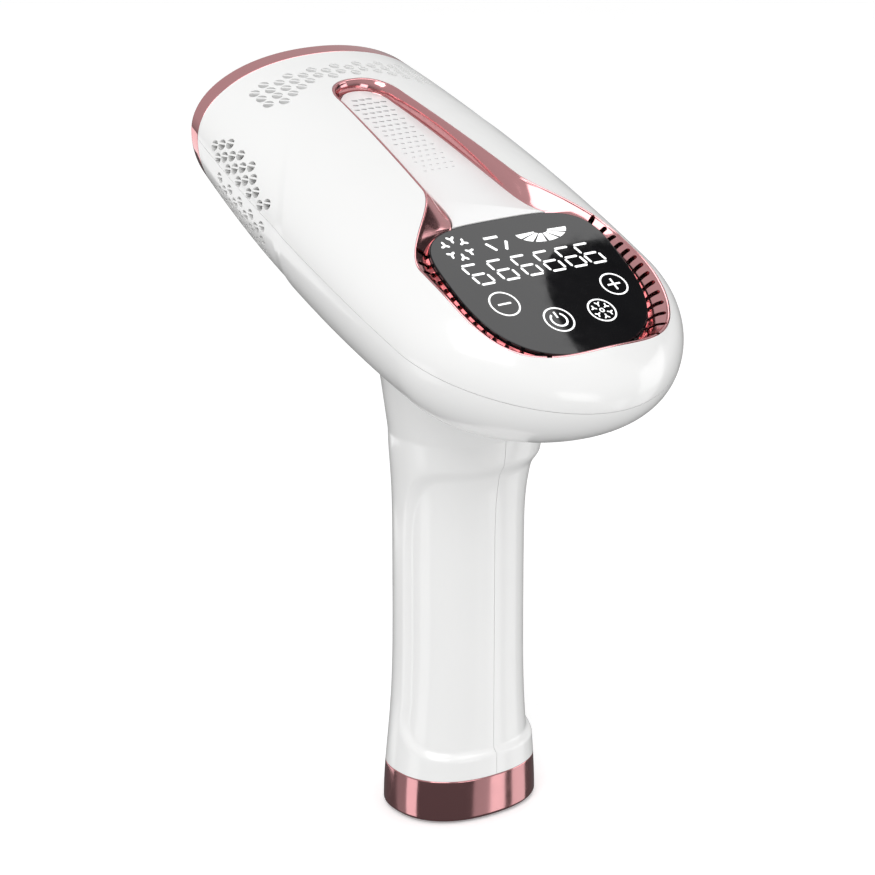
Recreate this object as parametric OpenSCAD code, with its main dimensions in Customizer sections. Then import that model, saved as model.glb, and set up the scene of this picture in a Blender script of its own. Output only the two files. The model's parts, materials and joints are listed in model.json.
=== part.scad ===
// IPL hair remover, gun shaped: tilted oval head with a display on its back, oval handle,
// removable treatment head in the mouth, trigger on the front of the handle.
// +Z runs up the handle, +Y is the way the treatment window faces, +X is the user's right.
// The origin is the centre of the flat base. Millimetres.

/* [View] */
// piece to draw

/* [Head] */
// tilt of the head axis
head_tilt = 20; // [15:0.5:25]
// length of the head along its axis
head_len = 153.7; // [140:0.1:165]
// half width of the head at the mouth
head_half_w = 39.6; // [36:0.1:44]
// height of the mouth's widest line above the base
mouth_z = 186; // [175:0.5:195]
// shell wall
wall = 2.2; // [1.8:0.1:3]
// diameter of one air vent
vent_d = 3.1; // [2:0.1:3.4]

/* [Handle] */
// half width of the grip
grip_a = 19; // [17:0.1:22]
// half depth of the grip
grip_b = 17.3; // [15:0.1:20]
// depth of the grip recess
grip_recess = 1.5; // [0.5:0.1:2]
// height of the base cap
cap_h = 12.4; // [8:0.1:16]

/* [Controls] */
// height of the trigger's middle
trigger_z = 98; // [90:0.5:99]
// travel of the trigger
trigger_travel = 1.5; // [0.5:0.1:2]
// diameter of the plug hole in the base cap
plug_d = 7; // [6.2:0.1:8]
// bore of the power socket behind it
socket_d = 6; // [5.6:0.1:6.2]

/* [Hidden] */
$fn = 32;

mouth_y = 74.5;
shear = -tan(head_tilt);
gap = 0.05;         // between pieces that meet
seam_n = 0.5;       // height of the head's parting line over its axis
ring_len = 5;       // length of the plated ring at the mouth
crown = 2.13;       // superellipse power of the head's upper half; its lower half is an ellipse
cap_floor = 2;      // thickness of the base cap's floor
base_screw_x = 14.5;
win_z = 181.5;      // height of the treatment window's middle
trigger_face = [6.5, 15];   // straight part of the trigger's outline, before its corners are rounded
trigger_grow = 3.85;        // corner radius of the button
fan_y = -62.6;      // front face of the fan, in the head's frame
fan_z = -4;
fan_hole = 15;      // half the spacing of the fan's screw holes
board_screw_at = [for (s = [-1, 1], y = [-120, -82]) [s * 21, y]];
digit_pitch = 7.46;
digit_at = [0.85, 0.8];     // middle of the row of six digits, in the glass's frame
key_at = [[-16.5, -10.6], [-4.4, -19.3], [10, -19.1], [19.3, -11.2]];   // touch keys

// ---------- colours ----------
c_white = [0.96, 0.96, 0.97];
c_rose = [0.72, 0.45, 0.44];
c_black = [0.07, 0.07, 0.08];
c_green = [0.08, 0.35, 0.2];
c_steel = [0.75, 0.76, 0.78];
c_alu = [0.83, 0.84, 0.86];
c_copper = [0.75, 0.42, 0.25];

// ---------- shared maths ----------
function spow(c, p) = sign(c) * pow(abs(c), 2 / p);
function super_end(u, p) = pow(1 - pow(min(1, max(0, u)), p), 1 / p);
function smooth(x) = let (k = min(1, max(0, x))) k * k * (3 - 2 * k);

// Head sections: tau runs from the mouth (0) to the rear end (head_len).
function bow(tau) = let (s = tau / head_len) 4 * s * (1 - s);
function closing(tau, len) = let (e = max(0, (tau - 112.6) / (len - 112.6)))
    e >= 1 ? 0 : pow(1 - pow(e, 1.92), 1 / 1.92);
function half_w(tau) = head_half_w + 4.9 * bow(tau) + 0.4 * pow(tau / head_len, 2);
function top_h(tau) = 18.4 + 4.4 * bow(tau) + 2.9 * pow(tau / head_len, 2);
function bot_h(tau) = 26.3 + 5.8 * bow(tau) - 4.65 * pow(tau / head_len, 2);
function head_pt(tau, th, off = 0) =
    let (e = closing(tau, head_len - off), p = sin(th) >= 0 ? crown : 2,
        z = ((sin(th) >= 0 ? top_h(tau) : bot_h(tau)) - off) * e * spow(sin(th), p))
    [(half_w(tau) - off) * e * spow(cos(th), p), -(tau + shear * z * (1 - tau / head_len)), z];
// Section station under a point that stands t behind the mouth at height z.
function tau_of(t, z) = (t - shear * z) / (1 - shear * z / head_len);
// Height of the outer surface over a point (x, t), by repeated substitution.
function top_at(x, t, k = 7, z = 20) = k == 0 ? z :
    top_at(x, t, k - 1, let (u = min(head_len - 0.01, tau_of(t, z)), e = closing(u, head_len))
        top_h(u) * e * pow(max(0, 1 - pow(abs(x) / (half_w(u) * e), crown)), 1 / crown));

// Outlines on the head's back, as half widths at t behind the mouth.
recess_t0 = 15.8;
recess_t1 = 143.7;
function recess_w(t) =
    t <= 27.3 ? 10.7 * super_end((27.3 - t) / 11.5, 2.4) :
    t < 110 ? let (neck = 10.7 + (min(t, 102) - 27.3) * 0.108) neck + smooth((t - 75) / 27) * (33 - neck) :
    33 * super_end((t - 110) / 33.7, 2.7);
glass_t0 = 108;
function glass_w(t) = 28.3 * (t < glass_t0
    ? super_end((glass_t0 - t) / 18.6, 3.6) : super_end((t - glass_t0) / 31.1, 2.6));
function glass_front(x) = glass_t0 - 18.6 * super_end(abs(x) / 28.3, 3.6);
function spine_w(t) = t < 26.4 ? 7.9 * super_end((26.4 - t) / 7.9, 2.2) :
    12.1 - 4.2 * exp((26.4 - t) / 28) + 5 * exp((min(t, 91) - 91) / 4);
// Where the spine panel's side meets the glass's front edge.
spine_end = 89.75;
// Stations along the two sides of the trim, closer together round the corners.
side_n = 44;
function inner_t(k) = k < 16 ? 18.5 + 70.1 * (1 - cos(180 * k / 16)) / 2
    : 88.6 + 50.5 * (1 - cos(180 * (k - 16) / (side_n - 16))) / 2;
function outer_t(k) = recess_t0 + (inner_t(k) - 18.5) * (recess_t1 - recess_t0) / 120.6;
function inner_w(t) = t > glass_t0 ? glass_w(t) : max(spine_w(t), glass_w(t));
function floor_z(t) = t < 89 ? 17.8 + (t - 20) * 0.0203 : 15.6 - 0.194 * (t - 107.7);

// Handle sections.
function foot(z) = exp(-pow(z / 26, 2));
function neck(z) = exp(-pow(max(0, 112 - z) / 14, 2)) + max(0, z - 112) * 0.11;
// How far a point lies inside the grip recess: 0 outside its rounded border, 1 on its floor.
function recess_in(y, z) =
    let (across = max(0, y + 17.3) / (18.8 + 0.15 * max(0, 32 - z)),
        up = max(0, z - 78) / 27.5 + max(0, 30 - z) / 11.7)
    smooth((1 - pow(pow(across, 2.4) + pow(up, 2.4), 1 / 2.4)) * 6);
function grip_pt(z, th, off) =
    let (a = grip_a + 3.3 * foot(z) + 2.6 * neck(z), b = grip_b + 0.6 * foot(z) + 1.2 * neck(z),
        yc = 0.5 * foot(z) - 2 * neck(z), cx = spow(cos(th), 2.3), sy = spow(sin(th), 2.3),
        d = off > 0 ? off : grip_recess * recess_in(yc + b * sy, z))
    [(a - d) * cx, yc + (b - d) * sy, z];

// ---------- lofts ----------
// Solid through closed loops of equal length, first and last loops capped flat.
module loft(loops) {
    m = len(loops[0]);
    n = len(loops);
    polyhedron([for (l = loops) each l], concat(
        [[for (j = [m - 1 : -1 : 0]) j]],
        [[for (j = [0 : m - 1]) (n - 1) * m + j]],
        [for (i = [0 : n - 2], j = [0 : m - 1]) let (k = (j + 1) % m)
            each [[i * m + j, (i + 1) * m + k, (i + 1) * m + j], [i * m + j, i * m + k, (i + 1) * m + k]]]));
}
// Ring through closed loops, the last joined back to the first.
module band(loops) {
    m = len(loops[0]);
    n = len(loops);
    polyhedron([for (l = loops) each l],
        [for (i = [0 : n - 1], j = [0 : m - 1]) let (k = (j + 1) % m, i2 = (i + 1) % n)
            each [[i * m + j, i2 * m + k, i2 * m + j], [i * m + j, i * m + k, i2 * m + k]]]);
}
module one_mesh() resize([0, 0, 0]) children();
module in_head() translate([0, mouth_y, mouth_z]) rotate([head_tilt, 0, 0]) children();
module at_glass() translate([0, -107.7, 15.6]) rotate([11, 0, 0]) children();
module at_spine() translate([0, -20, 17.8]) rotate([-1.163, 0, 0]) children();

module head_solid(off, from, n = 20, m = 44) {
    last = head_len - off;
    loft([for (i = [0 : n]) let (tau = from + (last - 0.02 - from) * (1 - pow(1 - i / n, 1.7)))
        [for (j = [0 : m - 1]) head_pt(tau, -360 * j / m, off)]]);
}
module recess_prism(grow, z0, z1) translate([0, 0, z0]) linear_extrude(z1 - z0) polygon([
    for (i = [0 : 2 * side_n - 1]) let (k = i < side_n ? i : 2 * side_n - i, t = outer_t(k),
        c = cos(180 * k / side_n), side = i < side_n ? 1 : -1)
    [k % side_n == 0 ? 0 : side * (recess_w(t) + grow), -t + grow * c]]);

// ---------- vents ----------
// Hole square to the surface at (tau, th).
module vent(tau, th) {
    p = head_pt(tau, th);
    u = head_pt(tau + 0.5, th) - head_pt(tau - 0.5, th);
    v = head_pt(tau, th + 1) - head_pt(tau, th - 1);
    nn = cross(v, u) / norm(cross(v, u));
    uu = u / norm(u);
    vv = cross(nn, uu);
    multmatrix([[uu[0], vv[0], nn[0], p[0]], [uu[1], vv[1], nn[1], p[1]], [uu[2], vv[2], nn[2], p[2]]])
        cylinder(h = 9, d = vent_d, center = true, $fn = 8);
}
module top_vents() for (j = [-7 : 7], k = [0 : 3]) {
    t = (j % 2 == 0 ? 7.2 : 9) + 3.6 * k;
    if (t < (abs(j) < 4 ? 12.7 : abs(j) < 5 ? 14.5 : abs(j) < 6 ? 16.4 : abs(j) < 7 ? 18.1 : 16.4)) {
        x = 3.85 * j;
        tau = tau_of(t, top_at(x, t));
        vent(tau, acos(sign(x) * pow(abs(x) / half_w(tau), crown / 2)));
    }
}
module flank_vents(up) for (side = [0, 1], i = [0 : up ? 3 : 4], k = [0 : 5]) {
    t = up ? 17.5 + 2.75 * i - (i > 0 ? 6.3 : 0) + 6.3 * k : 20.2 + (3.1 * i) % 6.3 + 6.3 * k - (i > 1 ? 6.3 : 0);
    th = up ? 4.6 + 5.0 * i : -5.6 - 4.6 * i;
    if (t > 13.5 && t < 45.8 - (up && i > 1 ? 4.5 * (i - 1) : 0)) {
        z = up ? top_h(t) * spow(sin(th), crown) : bot_h(t) * sin(th);
        vent(tau_of(t, z), side == 0 ? th : 180 - th);
    }
}

// ---------- head ----------
module upper_shell() color(c_white) in_head() one_mesh() difference() {
    intersection() {
        head_solid(0, ring_len);
        translate([-60, -170, seam_n + gap / 2]) cube([120, 180, 60]);
    }
    head_solid(wall, -2, 11, 22);
    recess_prism(gap, 4, 40);
    top_vents();
    flank_vents(true);
}
module lower_shell() color(c_white) in_head() one_mesh() {
    lower_skin();
    difference() {
        intersection() {
            head_solid(1, -2, 11, 22);
            union() {
                for (p = board_screw_at) translate([p[0], p[1], -40]) cylinder(h = 35.35, d = 5, $fn = 16);
                for (s = [-1, 1]) translate([s * 20 - 1, -56, -40]) cube([2, 8, 18.95]);
            }
        }
        for (p = board_screw_at) translate([p[0], p[1], -10]) cylinder(h = 12, d = 2.6, $fn = 16);
    }
}
module lower_skin() difference() {
    intersection() {
        head_solid(0, ring_len);
        translate([-60, -170, -60]) cube([120, 180, 60 + seam_n - gap / 2]);
    }
    head_solid(wall, -2, 11, 22);
    flank_vents(false);
    rotate([-head_tilt, 0, 0]) translate([0, -mouth_y - 2, -mouth_z + 100]) linear_extrude(50)
        scale([15.2, 13.2]) circle(1, $fn = 40);
}
module front_ring() color(c_rose) in_head() band([
    for (q = [[0, 0.5], [0.5, 0], [ring_len - gap, 0], [ring_len - gap, 4.9], [1.2, 4.9], [0, 4.2]])
        [for (j = [0 : 43]) head_pt(q[0], -360 * j / 44, q[1])]]);

function trim_loop(inset, drop, inner) = [for (i = [0 : 2 * side_n - 1]) let (
        k = i < side_n ? i : 2 * side_n - i, side = i < side_n ? 1 : -1, c = cos(180 * k / side_n),
        to = outer_t(k), ti = inner_t(k), w = k % side_n == 0 ? 0 : side)
    inner ? [w * (inner_w(ti) + inset), -ti + inset * c, floor_z(ti) - drop]
    : [w * (recess_w(to) - inset), -to - inset * c, top_at(recess_w(to), to) - drop]];
module recess_trim() color(c_rose) in_head() one_mesh() difference() {
    band([trim_loop(0, 0, false), trim_loop(0.9, 0, false), trim_loop(0.6, 0.5, true),
        trim_loop(0.6, 1.9, true), trim_loop(0.9, 1.8, false), trim_loop(0, 1.8, false)]);
    for (side = [-1, 1], k = [0 : 13]) {
        t = 96 + 3.1 * k;
        w0 = inner_w(t);
        a = atan2(inner_w(t + 1) - inner_w(t - 1), 2);
        translate([side * (w0 + 2.1), -t, floor_z(t) + 0.5]) rotate([0, 0, side * a])
            cube([3, 1.1, 8], center = true);
    }
}
// Panel seen from above; its rear end follows the glass's front edge.
module spine_outline(grow) {
    side = [for (i = [0 : 40]) let (t = 18.52 + (spine_end - 18.52) * (1 - cos(90 * i / 40)))
        [i == 0 ? 0 : spine_w(t) + grow, 20 - t - (t < 20 ? grow : 0)]];
    w = spine_w(spine_end) + grow;
    end = [for (i = [1 : 15]) let (x = w * (1 - i / 8)) [x, 20.35 - glass_front(x)]];
    left = [for (i = [40 : -1 : 1]) [-side[i][0], side[i][1]]];
    polygon(concat(side, end, left));
}
module spine_panel() color(c_white) in_head() at_spine() difference() {
    translate([0, 0, -1.6]) linear_extrude(1.6) difference() {
        spine_outline(-0.1);
        for (k = [0 : 13], j = [-2 : 2]) if (abs(j) < 2 || k > 0)
            translate([j * 2.35 + (k % 2 == 0 ? 0 : 1.1), -3.4 - 2.9 * k])
                square([1.1 - 0.05 * k, 0.6], center = true);
    }
}
module glass_outline(grow) polygon([for (i = [0 : 95]) let (a = 360 * i / 96)
    sin(a) >= 0 ? [(28.3 + grow) * spow(cos(a), 3.6), -0.3 + (18.95 + grow) * spow(sin(a), 3.6)]
    : [(28.3 + grow) * spow(cos(a), 2.6), -0.3 + (31.7 + grow) * spow(sin(a), 2.6)]]);
module display_glass() color(c_black) in_head() at_glass()
    translate([0, 0, -1.4]) linear_extrude(1.4) glass_outline(-0.1);

// Light mask behind the six digits and the three signs in front of them.
module digit_module() color(c_white) in_head() at_glass() difference() {
    translate([0, 0, -4.4]) union() {
        translate([-23.5, -4.6, 0]) cube([47, 11, 2.9]);
        translate([-23, 6, 0]) cube([42, 9.6, 2.9]);
    }
    for (j = [-2.5 : 2.5]) translate([digit_at[0] + j * digit_pitch, digit_at[1], -2])
        cube([6, 8.6, 3], center = true);
    for (x = [-17.8, -5.4, 10]) translate([x, 10.8, -2]) cube([x > 0 ? 17 : 9, 8, 3], center = true);
}
module display_board() color(c_green) in_head() at_glass() difference() {
    translate([0, 0, -6.1]) linear_extrude(1.6) intersection() {
        glass_outline(-3);
        translate([-24, -26]) square([48, 42]);
    }
    for (s = [-1, 1], p = [[22, -7], [14, -23.6]]) translate([s * p[0], p[1], -7]) cylinder(h = 4, d = 2.4);
}
module touch_springs() color(c_steel) in_head() at_glass() for (p = key_at)
    translate([p[0], p[1], -4.45]) difference() {
        cylinder(h = 3, d = 6);
        translate([0, 0, -1]) cylinder(h = 5, d = 4.8);
    }

// ---------- handle ----------
module grip_solid(off, z0, z1, n, m) loft([for (i = [0 : n])
    [for (j = [0 : m - 1]) grip_pt(z0 + (z1 - z0) * i / n, -360 * j / m, off)]]);
module neck_tube(a, b, z0, z1) translate([0, -2, z0]) linear_extrude(z1 - z0)
    scale([a, b]) circle(1, $fn = 40);
module handle_half(s) color(c_white) one_mesh() {
    boss(s);
    handle_shell(s);
}
module handle_shell(s) difference() {
    intersection() {
        union() {
            difference() {
                grip_solid(0, cap_h + gap, 136, 27, 40);
                in_head() head_solid(-gap, -2, 20, 44);
            }
            difference() {
                neck_tube(15, 13, 116, 140);
                in_head() translate([-30, -160, -26.2]) cube([60, 160, 40]);
            }
            intersection() {
                neck_tube(18, 16, 116, 150);
                in_head() intersection() {
                    head_solid(wall + gap, -2, 11, 22);
                    translate([-30, -160, -40]) cube([60, 160, 13.6]);
                }
            }
        }
        translate([s > 0 ? gap / 2 : -60, -60, 0]) cube([60 - gap / 2, 120, 160]);
    }
    grip_solid(2.3, cap_h - 2, 112, 6, 28);
    neck_tube(12.8, 10.8, 100, 160);
    // trigger opening
    translate([0, 10, trigger_z]) rotate([-90, 0, 0]) linear_extrude(20) trigger_outline(trigger_grow + 0.15);
}
module trigger_outline(grow) offset(grow) square(trigger_face, center = true);
// Boss of one half, standing on the floor of the base cap.
module boss(s) difference() {
    union() {
        translate([s * base_screw_x, 0, cap_floor + gap]) cylinder(h = 22, d = 5.4, $fn = 24);
        translate([s * 17 - 2.2, -0.8, cap_h + 2]) cube([4.4, 1.6, 9]);
    }
    translate([s * base_screw_x, 0, 1]) cylinder(h = 10.5, d = 2, $fn = 24);
}
module handle_left() handle_half(-1);
module handle_right() handle_half(1);
module base_screws() color(c_steel) for (s = [-1, 1]) translate([s * base_screw_x, 0, 0.45]) {
    difference() {
        cylinder(h = 0.95, d = 4);
        for (a = [0, 90]) rotate(a) translate([-1.2, -0.3, -1]) cube([2.4, 0.6, 1.5]);
    }
    translate([0, 0, 0.9]) cylinder(h = 9.6, d = 1.95);
}
// Cup with a flat floor plate let into its lofted wall.
module base_cap() color(c_rose) difference() {
    union() {
        difference() {
            loft([for (q = [[0, 0.8], [0.25, 0.3], [0.8, 0], [cap_h * 0.5, 0.1], [cap_h, 0.25]])
                [for (j = [0 : 39]) let (p = grip_pt(q[0], -360 * j / 40, 0), k = 1 - (q[1] - 0.3) / 20)
                    [p[0] * k, p[1] * k, q[0]]]]);
            translate([0, 0, -1]) linear_extrude(1 + cap_floor) floor_outline();
            translate([0, 0, cap_floor]) grip_solid(2.3, 0, 20, 2, 32);
        }
        linear_extrude(cap_floor) floor_outline();
    }
    translate([0, 0, -1]) cylinder(h = 5, d = plug_d);
    for (s = [-1, 1]) translate([s * base_screw_x, 0, -1]) {
        cylinder(h = 4, d = 2.2);
        cylinder(h = 2.4, d = 4.4);
    }
}
module floor_outline() polygon([for (j = [0 : 39]) let (p = grip_pt(0, -360 * j / 40, 1.6)) [p[0], p[1]]]);
module dc_socket() color(c_black) translate([0, 0, cap_floor + gap]) {
    difference() {
        union() {
            cylinder(h = 11, d = 9);
            translate([-4.5, -4.5, 3]) cube([9, 9, 8]);
        }
        translate([0, 0, -1]) cylinder(h = 10, d = socket_d);
    }
    translate([0, 0, 1]) cylinder(h = 8.5, d = 2);
}
module power_board() color(c_green) difference() {
    translate([-11, -9, 13.2]) cube([22, 17, 1.6]);
    for (s = [-1, 1]) translate([8.5 * s, 0, 12]) cylinder(h = 4, d = 2.4);
}
module filter_capacitor() color([0.12, 0.2, 0.45]) translate([0, -1, 14.85]) {
    cylinder(h = 13, d = 8);
    translate([0, 0, 12.95]) cylinder(h = 0.4, d = 6.4);
}
module trigger_button() color(c_white) translate([0, 0, trigger_z]) difference() {
    union() {
        translate([0, 13, 0]) rotate([-90, 0, 0]) linear_extrude(4.6) trigger_outline(trigger_grow);
        translate([0, 17.6, 0]) rotate([-90, 0, 0]) intersection() {
            linear_extrude(3) trigger_outline(trigger_grow);
            translate([0, 0, -24]) rotate([0, 90, 0]) cylinder(h = 30, r = 26, center = true, $fn = 96);
        }
        translate([-8.1, 11, -12]) cube([16.2, 2.1, 24]);
    }
    translate([0, 10.5, 0]) rotate([-90, 0, 0]) cylinder(h = 4.5, d = 6);
}
module trigger_spring() color(c_steel) for (k = [0 : 6])
    translate([0, 6.25 + 1.05 * k, trigger_z]) rotate([90, 0, 0])
        rotate_extrude() translate([2.2, 0]) circle(0.3);
module switch_board() color(c_green) translate([-7, 4.4, trigger_z - 12]) cube([14, 1.5, 24]);
module trigger_switch() color(c_black) translate([0, 0, trigger_z + 7.5]) {
    translate([-3, 5.95, -3]) cube([6, 2.9, 6]);
    translate([0, 8.8, 0]) rotate([-90, 0, 0]) cylinder(h = 0.6, d = 3);
}

// ---------- treatment head, held in the mouth ----------
mouth_up = top_h(0) / cos(head_tilt);
mouth_down = bot_h(0) / cos(head_tilt);
function mouth_loop(y, off) = [for (j = [0 : 43]) let (a = -360 * j / 44)
    sin(a) > 0 ? [(head_half_w - off) * spow(cos(a), crown), y, mouth_z + (mouth_up - off) * spow(sin(a), crown)]
    : [(head_half_w - off) * cos(a), y, mouth_z + (mouth_down - off) * sin(a)]];
module head_housing() color(c_white) one_mesh() difference() {
    union() {
        loft([mouth_loop(76.2, 7.4), mouth_loop(75.4, 6.2), mouth_loop(74.6, 5.4), mouth_loop(73.6, 6.5),
            mouth_loop(67, 6.5)]);
        translate([-25, 47.5, win_z - 9.5]) cube([50, 20.5, 18]);
    }
    translate([-19.2, 60, win_z - 7.2]) cube([38.4, 20, 14.4]);
    translate([-23.2, 49.2, win_z - 7.7]) cube([46.4, 14, 14.4]);
}
module window_frame() color(c_rose) difference() {
    translate([0, 77, win_z]) rotate([90, 0, 0]) linear_extrude(1.6) difference() {
        offset(2) square([40, 16], center = true);
        offset(1) square([33, 9.4], center = true);
    }
    // seat on the domed face
    translate([-30, 60, win_z - 20]) cube([60, 16.25, 40]);
}
module window_glass() color([0.75, 0.9, 0.95, 0.5]) translate([-19, 71.6, win_z - 7]) cube([38, 3, 14]);
module contact_pads() color(c_steel) for (s = [-1, 1])
    translate([s * 27, 76.25, win_z]) rotate([-90, 0, 0]) linear_extrude(0.5)
        scale([1, 2.4]) circle(2.2);
module flash_lamp() color([0.85, 0.9, 0.95, 0.6]) translate([0, 55.6, win_z]) rotate([0, 90, 0]) {
    cylinder(h = 36, d = 4.6, center = true);
    cylinder(h = 42, d = 2, center = true);
}
module lamp_reflector() color(c_alu) translate([0, 55.8, win_z]) rotate([0, 90, 0]) difference() {
    cylinder(h = 34, r = 6.3, center = true);
    cylinder(h = 40, r = 5.8, center = true);
    translate([-10, 1.4, -20]) cube([20, 12, 40]);
}
module lamp_holders() color(c_white) for (s = [-1, 1]) translate([s * 20.1, 55.6, win_z]) difference() {
    translate([-1.6, -5, -6]) cube([3.2, 10, 12]);
    rotate([0, 90, 0]) cylinder(h = 8, d = 2.1, center = true);
}
module head_socket() color(c_black) translate([0, 44, win_z - 1]) difference() {
    translate([-14, -5, -5]) cube([28, 8.3, 10]);
    for (k = [-2 : 2]) translate([k * 4.6, 2, 0]) rotate([90, 0, 0]) cylinder(h = 4, d = 2.4, center = true);
}

// Wall across the mouth that carries the socket.
module mouth_bulkhead() color(c_white) one_mesh() difference() {
    intersection() {
        in_head() head_solid(wall + gap, -2, 11, 22);
        translate([-60, 42.6, 100]) cube([120, 1.8, 120]);
    }
    in_head() translate([-15, -60, 15.7]) cube([30, 60, 12]);
    translate([-14.1, 40, win_z - 6.1]) cube([28.2, 8, 10.2]);
    for (s = [-1, 1]) translate([s * 24, 40, win_z - 1]) rotate([-90, 0, 0]) cylinder(h = 8, d = 5, $fn = 24);
}

// ---------- cooling ----------
module cooler_module() color([0.93, 0.93, 0.9]) in_head() {
    translate([-15, -46.8, -18]) cube([30, 3.6, 30]);
}
module heat_sink() color(c_alu) in_head() difference() {
    translate([-22, -62.5, -21]) cube([44, 15.6, 34]);
    for (k = [-6 : 6]) translate([k * 3.3 - 0.95, -63.5, -22]) cube([1.9, 13, 36]);
    for (a = [-1, 1], b = [-1, 1]) translate([fan_hole * a, -66, fan_hole * b + fan_z]) rotate([-90, 0, 0])
        cylinder(h = 11, d = 2.4);
}
module fan_screws() color(c_steel) in_head() for (a = [-1, 1], b = [-1, 1])
    translate([fan_hole * a, fan_y - 10 - gap, fan_hole * b + fan_z]) rotate([-90, 0, 0]) difference() {
        union() {
            translate([0, 0, -1.5]) cylinder(h = 1.5, d = 4.6);
            translate([0, 0, -0.1]) cylinder(h = 17, d = 2.3);
        }
        for (q = [0, 90]) rotate(q) translate([-1.4, -0.35, -2]) cube([2.8, 0.7, 1.2]);
    }
module fan_frame() color(c_black) in_head() translate([0, fan_y, fan_z]) rotate([90, 0, 0]) difference() {
    union() {
        difference() {
            linear_extrude(10) offset(3) square(30, center = true);
            translate([0, 0, -1]) cylinder(h = 12, d = 33.6, $fn = 72);
        }
        translate([0, 0, 8.6]) cylinder(h = 1.4, d = 13);
        for (a = [45, 135, 225, 315]) rotate(a) translate([5, -0.9, 8.6]) cube([13.5, 1.8, 1.4]);
    }
    for (a = [-1, 1], b = [-1, 1]) translate([fan_hole * a, fan_hole * b, -1]) cylinder(h = 12, d = 2.8);
    translate([0, 0, 7]) cylinder(h = 4, d = 2.1);
}
module fan_rotor() color([0.15, 0.15, 0.17]) in_head() translate([0, fan_y, fan_z]) rotate([90, 0, 0]) {
    translate([0, 0, 1]) cylinder(h = 7, d = 14);
    translate([0, 0, 7.9]) cylinder(h = 2.05, d = 2);
    for (k = [0 : 6]) rotate(k * 360 / 7) translate([6.5, 0, 4.5]) rotate([34, 0, 0])
        translate([0, -0.5, -3.4]) cube([9.6, 1, 6.8]);
}

// ---------- electronics ----------
module main_board() color(c_green) in_head() difference() {
    translate([-24, -124, -4.6]) cube([48, 46, 1.6]);
    for (p = board_screw_at) translate([p[0], p[1], -6]) cylinder(h = 4, d = 2.6);
}
module board_screws() color(c_steel) in_head() for (p = board_screw_at) translate([p[0], p[1], -2.95]) {
    cylinder(h = 1.4, d = 4.4);
    translate([0, 0, -6]) cylinder(h = 6.05, d = 2.5);
}
module power_capacitor() color([0.1, 0.1, 0.12]) in_head() translate([0, -108, -14]) rotate([0, 90, 0]) {
    cylinder(h = 34, r = 8.4, center = true);
    translate([0, 0, 16.9]) cylinder(h = 0.5, r = 7);
}
module trigger_coil() color(c_copper) in_head() translate([12, -90, -2.95]) {
    cylinder(h = 8, d = 9);
    cylinder(h = 1.2, d = 12);
    translate([0, 0, 7]) cylinder(h = 1.2, d = 12);
}
module power_transistor() color(c_black) in_head() translate([-12, -95, -2.95]) {
    translate([-5, -2.4, 0]) cube([10, 4.8, 6.6]);
    translate([-5, 2.4, 0]) cube([10, 1.2, 9.5]);
}

// ---------- everything ----------
upper_shell();
lower_shell();
front_ring();
recess_trim();
spine_panel();
display_glass();
digit_module();
display_board();
touch_springs();
handle_left();
handle_right();
base_screws();
base_cap();
dc_socket();
power_board();
filter_capacitor();
trigger_button();
trigger_spring();
switch_board();
trigger_switch();
head_housing();
window_frame();
window_glass();
contact_pads();
flash_lamp();
lamp_reflector();
lamp_holders();
head_socket();
mouth_bulkhead();
cooler_module();
heat_sink();
fan_screws();
fan_frame();
fan_rotor();
main_board();
board_screws();
power_capacitor();
trigger_coil();
power_transistor();
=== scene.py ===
"""IPL hair remover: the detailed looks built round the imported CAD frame.

+Z runs up the handle, +Y is the way the treatment window faces, +X is the user's right, and the origin is
the centre of the base. Shapes are worked out in millimetres and become metres when a mesh is made. Most of
the head's shapes are worked out in the head's own frame, which is tilted back by 20 degrees.
"""
import json
import math

import bmesh
import bpy
import numpy as np
from mathutils import Matrix, Vector
from mathutils.bvhtree import BVHTree


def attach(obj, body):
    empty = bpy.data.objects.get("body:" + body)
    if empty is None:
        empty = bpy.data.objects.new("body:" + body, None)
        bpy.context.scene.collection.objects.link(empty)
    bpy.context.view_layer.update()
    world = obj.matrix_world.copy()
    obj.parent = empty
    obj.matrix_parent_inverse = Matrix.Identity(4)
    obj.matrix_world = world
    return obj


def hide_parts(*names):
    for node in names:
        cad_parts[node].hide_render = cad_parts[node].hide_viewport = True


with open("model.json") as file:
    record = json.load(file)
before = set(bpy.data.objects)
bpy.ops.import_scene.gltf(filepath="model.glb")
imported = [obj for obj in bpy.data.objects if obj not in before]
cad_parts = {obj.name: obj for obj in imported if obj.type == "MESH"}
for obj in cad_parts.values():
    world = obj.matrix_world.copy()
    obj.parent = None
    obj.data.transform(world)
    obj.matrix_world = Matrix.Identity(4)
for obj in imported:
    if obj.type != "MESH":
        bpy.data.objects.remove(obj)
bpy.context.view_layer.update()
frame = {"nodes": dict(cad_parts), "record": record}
NODES = frame["nodes"]

# ---------------------------------------------------------------- sizes, as in the CAD (mm, degrees)
TILT = 20.0
HEAD_LEN = 153.7
HEAD_HALF_W = 39.6
CROWN = 2.13
RING_LEN = 5.0
MOUTH = (0.0, 74.5, 186.0)
WALL = 2.2
SHEAR = -math.tan(math.radians(TILT))
GRIP_A, GRIP_B, GRIP_RECESS, CAP_H = 19.0, 17.3, 1.5, 12.4
REAR_T0, REAR_POWER = 112.6, 1.92
RECESS_T0, RECESS_T1, GLASS_T0 = 15.8, 143.7, 108.0
SPINE_TIP, SPINE_END = 18.52, 90.1
SPINE_T, SPINE_N = 20.0, 17.8
GLASS_T, GLASS_N = 107.7, 15.6
WINDOW_Z = 181.5
TRIGGER_Z = 98.0
SEAM_N = 0.5
PLUG_R = 3.5
BASE_SCREW_X = 14.5
LAP = 1.0

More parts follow.
